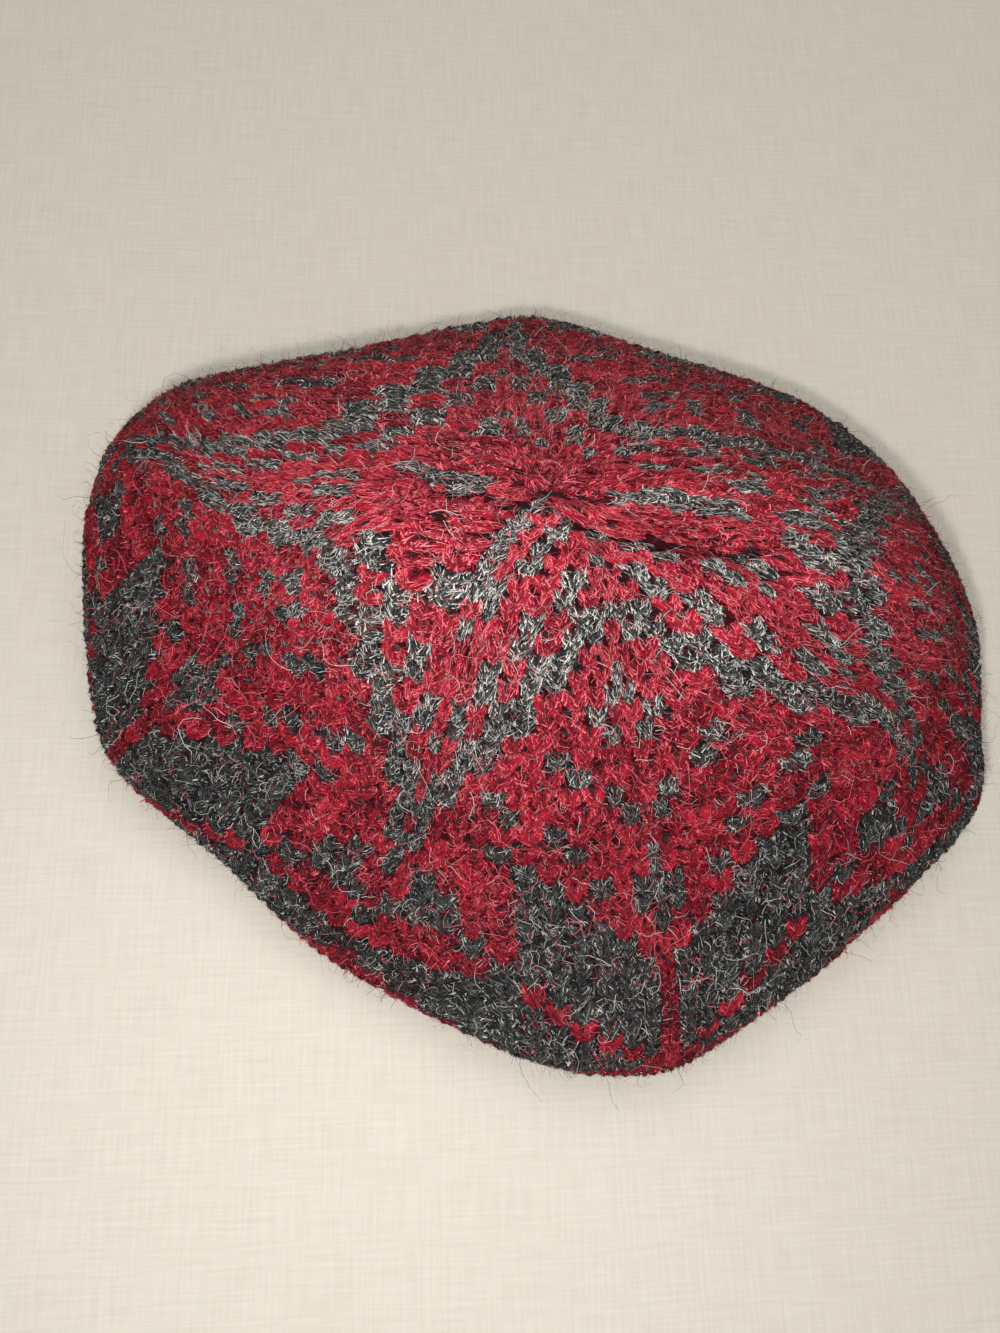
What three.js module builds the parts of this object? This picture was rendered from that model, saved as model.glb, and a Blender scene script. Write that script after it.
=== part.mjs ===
// A hand-knitted two-colour beanie, lying crown-up on a flat surface. Millimetres, +Z up, front towards -Y.
// The hat is one knitted fabric. It is built as its three regions: the decreasing crown, the side that
// slopes out and turns under in a soft fold, and the brim band that lies flat round the head opening.
//
// The fabric is a surface over two numbers. `turn` runs once round the hat, 0 to 1, anticlockwise from
// the front. `row` counts knitted rows: 33 at the middle of the crown, less and less towards the brim.

import * as THREE from 'three';

// ---- driving dimensions ----
const WALL = 3.2; // thickness of the two-strand fabric
const SEAM_GAP = 0.3; // clearance between neighbouring solids
const ROW_HEIGHT = 4.4; // one knitted row
const BRIM_ROWS = 5; // rows of the brim band
const UNDER_ROWS = 4; // rows between the widest fold and the brim band
const LAST_CROWN_ROW = 13; // the decreases start above this row

const FACETS_AROUND = 80;
const CROWN_BANDS = 18;
const SIDE_BANDS = 9;
const BRIM_BANDS = 3;

// Middle of the hat's box in the tables below: the origin is moved there.
const MIDDLE = { x: 0.93, y: 1.31 };

// ---- sections of the hat ----
// Each section is a ring of points [x, y, height] in ten directions, which are by turns the middle of a
// crown wedge and the spine between two wedges: front wedge, front right spine, right wedge, back right
// spine, back right wedge, back spine, back left wedge, left spine, left wedge, front left spine.
const CROWN_MIDDLE = { row: 33, point: [-4, 14, 74] };
const SECTIONS = [
  {
    name: 'gathered top',
    row: 28,
    ring: [
      [6, 3, 69], [28, 6, 69], [41, 11, 68], [27, 20, 69], [6, 27, 66],
      [-9, 30, 66], [-32, 26, 67], [-37, 19, 69], [-36, 11, 69], [-15, 1, 68],
    ],
  },
  {
    name: 'upper slope',
    row: 21,
    ring: [
      [12, -19, 52], [53, -11, 53], [75, 4, 49], [55, 25, 57], [26, 48, 49],
      [-9, 53, 48], [-59, 44, 52], [-64, 25, 59], [-55, 7, 49], [-23, -21, 48],
    ],
  },
  {
    name: 'start of the decreases',
    row: 13,
    ring: [
      [21, -48, 31], [81, -26, 31], [98, -3, 28], [85, 29, 36], [55, 66, 26],
      [-5, 82, 26], [-81, 63, 30], [-92, 42, 38], [-72, -3, 26], [-32, -44, 26],
    ],
  },
];

// The widest fold, in twenty directions: x, y, height, the knitted row that lies in the fold there, and
// the tuck, how far the foot of the wall stands in from the fold (negative where it stands out).
const FOLD = [
  [25, -93, 10, 1, 9], [51, -80, 11, 2.5, 6], [77, -62, 11, 5, 8], [102, -40, 12, 6, 9],
  [106, -21, 12, 7, 9], [109, 1, 14, 7, 9], [104, 23, 15, 6.5, 9], [94, 50, 14, 7.5, 9],
  [73, 70, 13, 8, 9], [39, 84, 12, 8.5, 9], [2, 96, 12, 8.5, 9], [-46, 84, 12, 8.5, 9],
  [-86, 73, 13, 8, 9], [-103, 52, 14, 7, 9], [-107, 30, 15, 6.5, 9], [-106, 4, 12, 5.5, 9],
  [-99, -23, 10, 4.5, 8], [-73, -46, 10, 5, 7], [-47, -69, 8, 5, 6], [-3, -91, 10, 3, 7],
];

const OPENING_MIDDLE = [0, 3]; // the head opening lies round this plan point

// How tightly each ring is drawn from corner to corner: 0 is straight, 1 is a full round.
const SECTION_ROUNDNESS = 0.6;
const FOLD_ROUNDNESS = 0.8;

// ---- dents and folds of the slack fabric ----
// Creases: a groove from one plan point to another. Hollows: a round dent, or a swelling where the depth
// is negative. Both fade out above the fold at the foot.
const CREASES = [
  { from: [8, 8], to: [46, 3], width: 5, depth: 2.4 },
];
const HOLLOWS = [
  { at: [-60, 5], radius: 17, depth: 4 },
  { at: [76, 1], radius: 17, depth: -2.5 },
  { at: [30, -62], radius: 14, depth: -2 },
];
const RELIEF_FADES = { from: 10, over: 12 };

// ---- surface of the fabric ----

const mixed = (a, b, t) => a + (b - a) * t;

// Cubic from a to b with end slopes, at t from 0 to 1.
function hermite(a, slopeA, b, slopeB, t) {
  const s = 1 - t;
  return a * s * s * (1 + 2 * t) + slopeA * t * s * s + b * t * t * (3 - 2 * t) - slopeB * t * t * s;
}

// A ring's point at a turn: a closed cardinal spline through its stations.
function onRing(ring, turn, roundness) {
  const count = ring.length;
  const place = (turn - Math.floor(turn)) * count;
  const i = Math.floor(place) % count;
  const [before, start, end, after] = [-1, 0, 1, 2].map((k) => ring[(i + k + count) % count]);
  return start.map((value, k) => {
    const slopeStart = (roundness * (end[k] - before[k])) / 2;
    const slopeEnd = (roundness * (after[k] - value)) / 2;
    return hermite(value, slopeStart, end[k], slopeEnd, place - Math.floor(place));
  });
}

// A point on the flat surface, a distance inwards from a plan point.
function inwards([x, y], distance) {
  const kept = 1 - distance / Math.hypot(x - OPENING_MIDDLE[0], y - OPENING_MIDDLE[1]);
  return [mixed(OPENING_MIDDLE[0], x, kept), mixed(OPENING_MIDDLE[1], y, kept), 0];
}

const foldRow = (turn) => onRing(FOLD, turn, FOLD_ROUNDNESS)[3];
const brimTopRow = (turn) => foldRow(turn) - UNDER_ROWS;
const brimEdgeRow = (turn) => brimTopRow(turn) - BRIM_ROWS;

// The stations that the fabric passes at one turn, from the crown's middle to the brim's edge.
function stationsAt(turn) {
  const [x, y, height, row, tuck] = onRing(FOLD, turn, FOLD_ROUNDNESS);
  const crownStation = ({ row: sectionRow, ring }) => (
    { row: sectionRow, point: onRing(ring, turn, SECTION_ROUNDNESS) }
  );
  return [
    CROWN_MIDDLE,
    ...SECTIONS.map(crownStation),
    { row, point: [x, y, height] },
    { row: row - UNDER_ROWS, point: inwards([x, y], tuck) },
    { row: row - UNDER_ROWS - BRIM_ROWS, point: inwards([x, y], tuck + BRIM_ROWS * ROW_HEIGHT) },
  ];
}

// Change per row at a station, from its neighbours. The crown's middle looks across to the other side,
// so that the top is smooth, and the foot is level, so that the brim lies flat.
function slopeAt(stations, i, turn) {
  const here = stations[i];
  const next = stations[i + 1];
  const last = stations[i - 1];
  if (i === 0) {
    const across = onRing(SECTIONS[0].ring, turn + 0.5, SECTION_ROUNDNESS);
    return next.point.map((value, k) => (value - across[k]) / (2 * (next.row - here.row)));
  }
  if (i === stations.length - 1) {
    return here.point.map((value, k) => (value - last.point[k]) / (here.row - last.row));
  }
  const [before, after] = [here.row - last.row, next.row - here.row];
  const slope = here.point.map((value, k) => {
    const into = (value - last.point[k]) / before;
    const out = (next.point[k] - value) / after;
    return (out * before + into * after) / (before + after);
  });
  const isFoot = i === stations.length - 2;
  return isFoot ? [slope[0], slope[1], 0] : slope;
}

// Depth of the dents and folds at a plan point of the slack fabric.
function relief(x, y, height) {
  let depth = 0;
  for (const { from, to, width, depth: deep } of CREASES) {
    const along = [to[0] - from[0], to[1] - from[1]];
    const lengthSquared = along[0] ** 2 + along[1] ** 2;
    const place = ((x - from[0]) * along[0] + (y - from[1]) * along[1]) / lengthSquared;
    const held = Math.min(1, Math.max(0, place));
    const away = Math.hypot(x - from[0] - held * along[0], y - from[1] - held * along[1]);
    depth += deep * Math.exp(-((away / width) ** 2));
  }
  for (const { at, radius, depth: deep } of HOLLOWS) {
    depth += deep * Math.exp(-(((x - at[0]) ** 2 + (y - at[1]) ** 2) / radius ** 2));
  }
  const fade = Math.min(1, Math.max(0, (height - RELIEF_FADES.from) / RELIEF_FADES.over));
  return depth * fade;
}

// Outer face of the fabric.
function outerFace(turn, row) {
  const stations = stationsAt(turn);
  let i = 0;
  while (i < stations.length - 2 && row < stations[i + 1].row) i += 1;
  const [a, b] = [stations[i], stations[i + 1]];
  const span = b.row - a.row;
  const [slopeA, slopeB] = [slopeAt(stations, i, turn), slopeAt(stations, i + 1, turn)];
  const t = (row - a.row) / span;
  const [x, y, z] = a.point.map((v, k) => hermite(v, slopeA[k] * span, b.point[k], slopeB[k] * span, t));
  return new THREE.Vector3(x, y, z - relief(x, y, z));
}

// Inner face: the outer one set in by the wall, square to the surface.
function innerFace(turn, row) {
  const [turnStep, rowStep] = [0.002, 0.05];
  const face = outerFace(turn, row);
  if (row > CROWN_MIDDLE.row - rowStep) return face.setZ(face.z - WALL);
  const round = outerFace(turn + turnStep, row).sub(outerFace(turn - turnStep, row));
  const outwards = outerFace(turn, row - rowStep).sub(outerFace(turn, row + rowStep));
  const normal = outwards.cross(round).normalize();
  return face.addScaledVector(normal, -WALL);
}

// ---- solids ----

// A closed wall of fabric between two rows, each a function of the turn. A wall that starts at the
// crown's middle has a single point there in place of an edge.
function fabricWall(startRow, endRow, bands) {
  const closedTop = startRow(0) >= CROWN_MIDDLE.row;
  const positions = [];
  const triangles = [];
  const faces = [outerFace, innerFace];
  const firstOf = [];

  faces.forEach((face, side) => {
    firstOf[side] = positions.length / 3;
    for (let band = 0; band <= bands; band += 1) {
      const single = closedTop && band === 0;
      for (let i = 0; i < (single ? 1 : FACETS_AROUND); i += 1) {
        const turn = i / FACETS_AROUND;
        const point = face(turn, mixed(startRow(turn), endRow(turn), band / bands));
        positions.push(point.x - MIDDLE.x, point.y - MIDDLE.y, point.z);
      }
    }
  });

  const vertex = (side, band, i) => {
    if (closedTop && band === 0) return firstOf[side];
    const skipped = closedTop ? 1 - FACETS_AROUND : 0;
    return firstOf[side] + skipped + band * FACETS_AROUND + (i % FACETS_AROUND);
  };
  // Two triangles, or one where the quad starts at the crown's single middle point.
  const addQuad = (a, b, c, d) => {
    if (a !== b) triangles.push(a, b, c);
    if (a !== d) triangles.push(a, c, d);
  };

  for (let i = 0; i < FACETS_AROUND; i += 1) {
    for (let band = 0; band < bands; band += 1) {
      addQuad(vertex(0, band, i), vertex(0, band + 1, i), vertex(0, band + 1, i + 1), vertex(0, band, i + 1));
      addQuad(vertex(1, band, i), vertex(1, band, i + 1), vertex(1, band + 1, i + 1), vertex(1, band + 1, i));
    }
    addQuad(vertex(0, bands, i), vertex(1, bands, i), vertex(1, bands, i + 1), vertex(0, bands, i + 1));
    if (!closedTop) addQuad(vertex(0, 0, i + 1), vertex(1, 0, i + 1), vertex(1, 0, i), vertex(0, 0, i));
  }

  const geometry = new THREE.BufferGeometry();
  geometry.setAttribute('position', new THREE.Float32BufferAttribute(positions, 3));
  geometry.setIndex(triangles);
  geometry.computeVertexNormals();
  return geometry;
}

function knittedPiece(name, color, geometry) {
  const material = new THREE.MeshStandardMaterial({ color, roughness: 0.95, metalness: 0 });
  const mesh = new THREE.Mesh(geometry, material);
  mesh.name = name;
  return mesh;
}

const halfGap = SEAM_GAP / 2 / ROW_HEIGHT; // in rows
const crownTop = () => CROWN_MIDDLE.row;
const crownEdge = () => LAST_CROWN_ROW + halfGap;
const sideTop = () => LAST_CROWN_ROW - halfGap;
const sideEdge = (turn) => brimTopRow(turn) + halfGap;
const brimTop = (turn) => brimTopRow(turn) - halfGap;

const beanie = new THREE.Group();
beanie.add(knittedPiece('crown', 0x9c1a2e, fabricWall(crownTop, crownEdge, CROWN_BANDS)));
beanie.add(knittedPiece('side', 0x8a1628, fabricWall(sideTop, sideEdge, SIDE_BANDS)));
beanie.add(knittedPiece('brim_band', 0x5e1220, fabricWall(brimTop, brimEdgeRow, BRIM_BANDS)));

export default beanie;
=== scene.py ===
"""A hand-knitted two-colour wool beanie, lying crown-up on a pale cloth.

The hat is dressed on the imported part. Its fabric is a surface over two numbers. A turn runs once
round the hat, 0 to 1, anticlockwise from the front. A row counts knitted rows: 33 at the crown's
middle, less and less towards the brim. Each stitch, the wool's loose fibres and the lining of the
shell are placed on that surface. Tables are in millimetres.
"""

import logging
import math
from dataclasses import dataclass, field
from enum import Enum

import bpy
import numpy as np
from mathutils import Matrix, Vector

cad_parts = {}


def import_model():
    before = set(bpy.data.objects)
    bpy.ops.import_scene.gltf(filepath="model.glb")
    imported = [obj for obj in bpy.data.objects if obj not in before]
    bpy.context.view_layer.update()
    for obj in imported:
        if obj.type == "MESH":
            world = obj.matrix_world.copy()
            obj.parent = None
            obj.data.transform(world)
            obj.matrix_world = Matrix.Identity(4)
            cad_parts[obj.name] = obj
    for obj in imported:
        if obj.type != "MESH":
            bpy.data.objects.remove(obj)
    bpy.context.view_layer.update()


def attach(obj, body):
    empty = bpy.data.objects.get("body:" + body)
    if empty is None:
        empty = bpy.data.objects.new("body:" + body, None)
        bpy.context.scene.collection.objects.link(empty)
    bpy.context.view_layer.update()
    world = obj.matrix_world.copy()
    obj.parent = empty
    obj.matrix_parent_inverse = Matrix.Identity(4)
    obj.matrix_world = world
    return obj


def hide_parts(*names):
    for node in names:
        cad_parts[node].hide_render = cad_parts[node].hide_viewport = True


LOG = logging.getLogger("beanie")
MM = 0.001

Points = np.ndarray
Colour = tuple[float, float, float]
Ring = tuple[tuple[float, ...], ...]


class YarnColour(Enum):
    """The two yarns of the stranded knitting."""

    RED = "red"
    CHARCOAL = "charcoal"


class Region(Enum):
    """The three regions of the hat, named as the part's nodes."""

    CROWN = "crown"
    SIDE = "side"
    BRIM = "brim_band"


Materials = dict[YarnColour, bpy.types.Material]
Socket = bpy.types.NodeSocket
Inputs = dict[str | int, float | tuple[float, ...] | Socket]


# ---------------------------------------------------------------- small helpers


def linear(red: int, green: int, blue: int) -> Colour:
    """Turn a screen colour into a linear one.

    Args:
        red: Red, 0 to 255.
        green: Green, 0 to 255.
        blue: Blue, 0 to 255.

    Returns:
        The linear colour, 0 to 1.
    """

    def one(value: int) -> float:
        """Turn one channel into a linear one."""
        part = value / 255
        return part / 12.92 if part <= 0.04045 else ((part + 0.055) / 1.055) ** 2.4

    return one(red), one(green), one(blue)


def hermite(a: Points, slope_a: Points, b: Points, slope_b: Points, t: Points) -> Points:
    """Blend from a to b along a cubic with the given end slopes.

    Args:
        a: Value at t = 0.
        slope_a: Slope at t = 0.
        b: Value at t = 1.
        slope_b: Slope at t = 1.
        t: Place between them.

    Returns:
        The value at t.
    """
    s = 1 - t
    start = a * s * s * (1 + 2 * t) + slope_a * t * s * s
    return start + b * t * t * (3 - 2 * t) - slope_b * t * t * s


def unit(vectors: Points) -> Points:
    """Scale each vector to length one."""
    return vectors / np.linalg.norm(vectors, axis=-1, keepdims=True)


def deselect_all() -> None:
    """Clear the selection before an operator that acts on all that is selected."""
    bpy.ops.object.select_all(action="DESELECT")


def make_active(piece: bpy.types.Object) -> None:
    """Select one piece alone.

    Args:
        piece: The object to select.
    """
    deselect_all()
    piece.select_set(True)
    bpy.context.view_layer.objects.active = piece


def apply_modifiers(piece: bpy.types.Object) -> None:
    """Apply each modifier of a piece, in order.

    Args:
        piece: The object whose modifiers are applied.
    """
    make_active(piece)
    for modifier in list(piece.modifiers):
        bpy.ops.object.modifier_apply(modifier=modifier.name)


# ---------------------------------------------------------------- the fabric's surface


@dataclass(frozen=True)
class Section:
    """One ring of the crown, in ten directions from the front wedge's middle."""

    row: float
    ring: Ring


@dataclass(frozen=True)
class Crease:
    """A groove between two plan points."""

    start: tuple[float, float]
    end: tuple[float, float]
    width: float
    depth: float


@dataclass(frozen=True)
class Hollow:
    """A round dent, or a swelling where the depth is negative."""

    at: tuple[float, float]
    radius: float
    depth: float


GATHERED_TOP = Section(
    28,
    (
        (6, 3, 69), (28, 6, 69), (41, 11, 68), (27, 20, 69), (6, 27, 66),
        (-9, 30, 66), (-32, 26, 67), (-37, 19, 69), (-36, 11, 69), (-15, 1, 68),
    ),
)
UPPER_SLOPE = Section(
    21,
    (
        (12, -19, 52), (53, -11, 53), (75, 4, 49), (55, 25, 57), (26, 48, 49),
        (-9, 53, 48), (-59, 44, 52), (-64, 25, 59), (-55, 7, 49), (-23, -21, 48),
    ),
)
DECREASE_START = Section(
    13,
    (
        (21, -48, 31), (81, -26, 31), (98, -3, 28), (85, 29, 36), (55, 66, 26),
        (-5, 82, 26), (-81, 63, 30), (-92, 42, 38), (-72, -3, 26), (-32, -44, 26),
    ),
)
# The widest fold, in twenty directions: x, y, height, the row that lies there, the foot's tuck.
FOLD = (
    (25, -93, 10, 1, 9), (51, -80, 11, 2.5, 6), (77, -62, 11, 5, 8), (102, -40, 12, 6, 9),
    (106, -21, 12, 7, 9), (109, 1, 14, 7, 9), (104, 23, 15, 6.5, 9), (94, 50, 14, 7.5, 9),
    (73, 70, 13, 8, 9), (39, 84, 12, 8.5, 9), (2, 96, 12, 8.5, 9), (-46, 84, 12, 8.5, 9),
    (-86, 73, 13, 8, 9), (-103, 52, 14, 7, 9), (-107, 30, 15, 6.5, 9), (-106, 4, 12, 5.5, 9),
    (-99, -23, 10, 4.5, 8), (-73, -46, 10, 5, 7), (-47, -69, 8, 5, 6), (-3, -91, 10, 3, 7),
)
# The first crease is in the part's solids too. The narrow ones are in the stitches alone.
CREASES = (
    Crease((8, 8), (46, 3), 5, 2.4),
    Crease((-24, 16), (-8, 11.5), 1.8, 2.2),
    Crease((1, 9), (19, 7.5), 1.8, 2.4),
    Crease((19, 7.5), (38, 5.5), 1.8, 2.4),
    Crease((104, -4), (87, -30), 3.5, 3.5),
)
HOLLOWS = (Hollow((-60, 5), 17, 4), Hollow((76, 1), 17, -2.5), Hollow((30, -62), 14, -2))


@dataclass(frozen=True)
class Fabric:
    """The outer face of the knitting, from the same tables as the part's solids."""

    top_row: float = 33
    top_point: tuple[float, float, float] = (-4, 14, 74)
    sections: tuple[Section, ...] = (GATHERED_TOP, UPPER_SLOPE, DECREASE_START)
    fold: Ring = FOLD
    creases: tuple[Crease, ...] = CREASES
    hollows: tuple[Hollow, ...] = HOLLOWS
    section_roundness: float = 0.6
    fold_roundness: float = 0.8
    under_rows: float = 4
    brim_rows: float = 5
    row_height: float = 4.4
    opening_middle: tuple[float, float] = (0, 3)
    # The middle of the tables' plan, which is moved to the origin.
    middle: tuple[float, float] = (0.93, 1.31)
    relief_from: float = 10
    relief_over: float = 12

    def on_ring(self, ring: Ring, turn: Points, roundness: float) -> Points:
        """Follow a closed cardinal spline through a ring's stations.

        Args:
            ring: The stations.
            turn: Turns to read.
            roundness: 0 is straight between stations, 1 is a full round.

        Returns:
            The ring's values at each turn.
        """
        stations = np.asarray(ring, float)
        count = len(stations)
        place = (turn % 1.0) * count
        index = np.floor(place).astype(int) % count
        t = (place - np.floor(place))[..., None]
        before, start, end, after = (stations[(index + k) % count] for k in (-1, 0, 1, 2))
        slope_in, slope_out = (end - before) * roundness / 2, (after - start) * roundness / 2
        return hermite(start, slope_in, end, slope_out, t)

    def fold_row(self, turn: Points) -> Points:
        """Give the row that lies in the widest fold at each turn."""
        return self.on_ring(self.fold, turn, self.fold_roundness)[..., 3]

    def inwards(self, plan: Points, distance: Points) -> Points:
        """Find the points on the table that lie inwards from plan points.

        Args:
            plan: Plan points.
            distance: How far inwards.

        Returns:
            Points at height zero.
        """
        centre = np.asarray(self.opening_middle, float)
        away = plan - centre
        kept = 1 - distance / np.linalg.norm(away, axis=-1)
        moved = centre + away * kept[..., None]
        return np.concatenate([moved, np.zeros(plan.shape[:-1] + (1,))], -1)

    def stations(self, turn: Points) -> tuple[list[Points], list[Points]]:
        """List the points that the fabric passes, from the crown's middle to the brim's edge.

        Args:
            turn: Turns to read.

        Returns:
            The points and their rows.
        """
        points = [np.broadcast_to(np.asarray(self.top_point, float), turn.shape + (3,))]
        rows = [np.full(turn.shape, float(self.top_row))]
        for section in self.sections:
            points.append(self.on_ring(section.ring, turn, self.section_roundness))
            rows.append(np.full(turn.shape, float(section.row)))
        widest = self.on_ring(self.fold, turn, self.fold_roundness)
        row, tuck = widest[..., 3], widest[..., 4]
        points += [
            widest[..., :3],
            self.inwards(widest[..., :2], tuck),
            self.inwards(widest[..., :2], tuck + self.brim_rows * self.row_height),
        ]
        rows += [row, row - self.under_rows, row - self.under_rows - self.brim_rows]
        return points, rows

    def slopes(self, points: list[Points], rows: list[Points], turn: Points) -> list[Points]:
        """Give the change per row at each station, from its neighbours.

        Args:
            points: The stations.
            rows: Their rows.
            turn: The turns that they belong to.

        Returns:
            One slope for each station.
        """
        across = self.on_ring(self.sections[0].ring, turn + 0.5, self.section_roundness)
        found = [(points[1] - across) / (2 * (rows[1] - rows[0]))[..., None]]
        for i in range(1, len(points) - 1):
            before = (rows[i] - rows[i - 1])[..., None]
            after = (rows[i + 1] - rows[i])[..., None]
            into, out = (points[i] - points[i - 1]) / before, (points[i + 1] - points[i]) / after
            found.append((out * before + into * after) / (before + after))
        found[-1] = found[-1] * np.array([1.0, 1.0, 0.0])
        found.append((points[-1] - points[-2]) / (rows[-1] - rows[-2])[..., None])
        return found

    def relief(self, points: Points) -> Points:
        """Measure the depth of the dents and folds at points of the slack fabric.

        Args:
            points: Points of the smooth surface.

        Returns:
            Depth at each point.
        """
        plan, height = points[..., :2], points[..., 2]
        depth = np.zeros(height.shape)
        for crease in self.creases:
            start, end = np.asarray(crease.start, float), np.asarray(crease.end, float)
            along = end - start
            held = np.clip(((plan - start) @ along) / (along @ along), 0, 1)
            away = np.linalg.norm(plan - start - held[..., None] * along, axis=-1)
            depth = depth + crease.depth * np.exp(-((away / crease.width) ** 2))
        for hollow in self.hollows:
            away = np.linalg.norm(plan - np.asarray(hollow.at, float), axis=-1)
            depth = depth + hollow.depth * np.exp(-((away / hollow.radius) ** 2))
        return depth * np.clip((height - self.relief_from) / self.relief_over, 0, 1)

    def point(self, turn: Points, row: Points) -> Points:
        """Find points of the outer face.

        Args:
            turn: Turns.
            row: Rows.

        Returns:
            Points in millimetres, in the part's frame.
        """
        turn, row = np.broadcast_arrays(np.asarray(turn, float), np.asarray(row, float))
        points, rows = self.stations(turn)
        slopes = self.slopes(points, rows, turn)
        found = np.zeros(turn.shape + (3,))
        last = len(points) - 2
        for i in range(last + 1):
            inside = ((row <= rows[i]) | (i == 0)) & ((row > rows[i + 1]) | (i == last))
            span = (rows[i + 1] - rows[i])[..., None]
            t = ((row - rows[i]) / (rows[i + 1] - rows[i]))[..., None]
            here = hermite(points[i], slopes[i] * span, points[i + 1], slopes[i + 1] * span, t)
            found = np.where(inside[..., None], here, found)
        found[..., 2] -= self.relief(found)
        return found - np.array([self.middle[0], self.middle[1], 0.0])

    def frame_at(self, turn: Points, row: Points) -> tuple[Points, Points, Points, Points]:
        """Find the local frame of the surface.

        Args:
            turn: Turns.
            row: Rows.

        Returns:
            The point, its change per turn, its change per row towards the brim, and the outward
            normal.
        """
        turn_step, row_step = 0.002, 0.05
        held = np.minimum(row, self.top_row - 2 * row_step)
        round_hat = self.point(turn + turn_step, held) - self.point(turn - turn_step, held)
        down_hat = self.point(turn, held - row_step) - self.point(turn, held + row_step)
        per_turn, brimward = round_hat / (2 * turn_step), down_hat / (2 * row_step)
        return self.point(turn, held), per_turn, brimward, unit(np.cross(brimward, per_turn))


# ---------------------------------------------------------------- the knitting chart


@dataclass(frozen=True)
class Patch:
    """A charcoal patch in a wedge's gathered rows, with its limits in rows and in stitches."""

    wedge: int
    rows: tuple[int, int]
    offsets: tuple[float, float]

    def covers(self, wedge: int, offset: float, row: int) -> bool:
        """Say whether a stitch lies in the patch.

        Args:
            wedge: The stitch's wedge.
            offset: Stitches from the wedge's middle.
            row: Its row.

        Returns:
            True inside the limits.
        """
        in_rows = self.rows[0] <= row <= self.rows[1]
        return wedge == self.wedge and in_rows and self.offsets[0] < offset < self.offsets[1]


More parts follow.
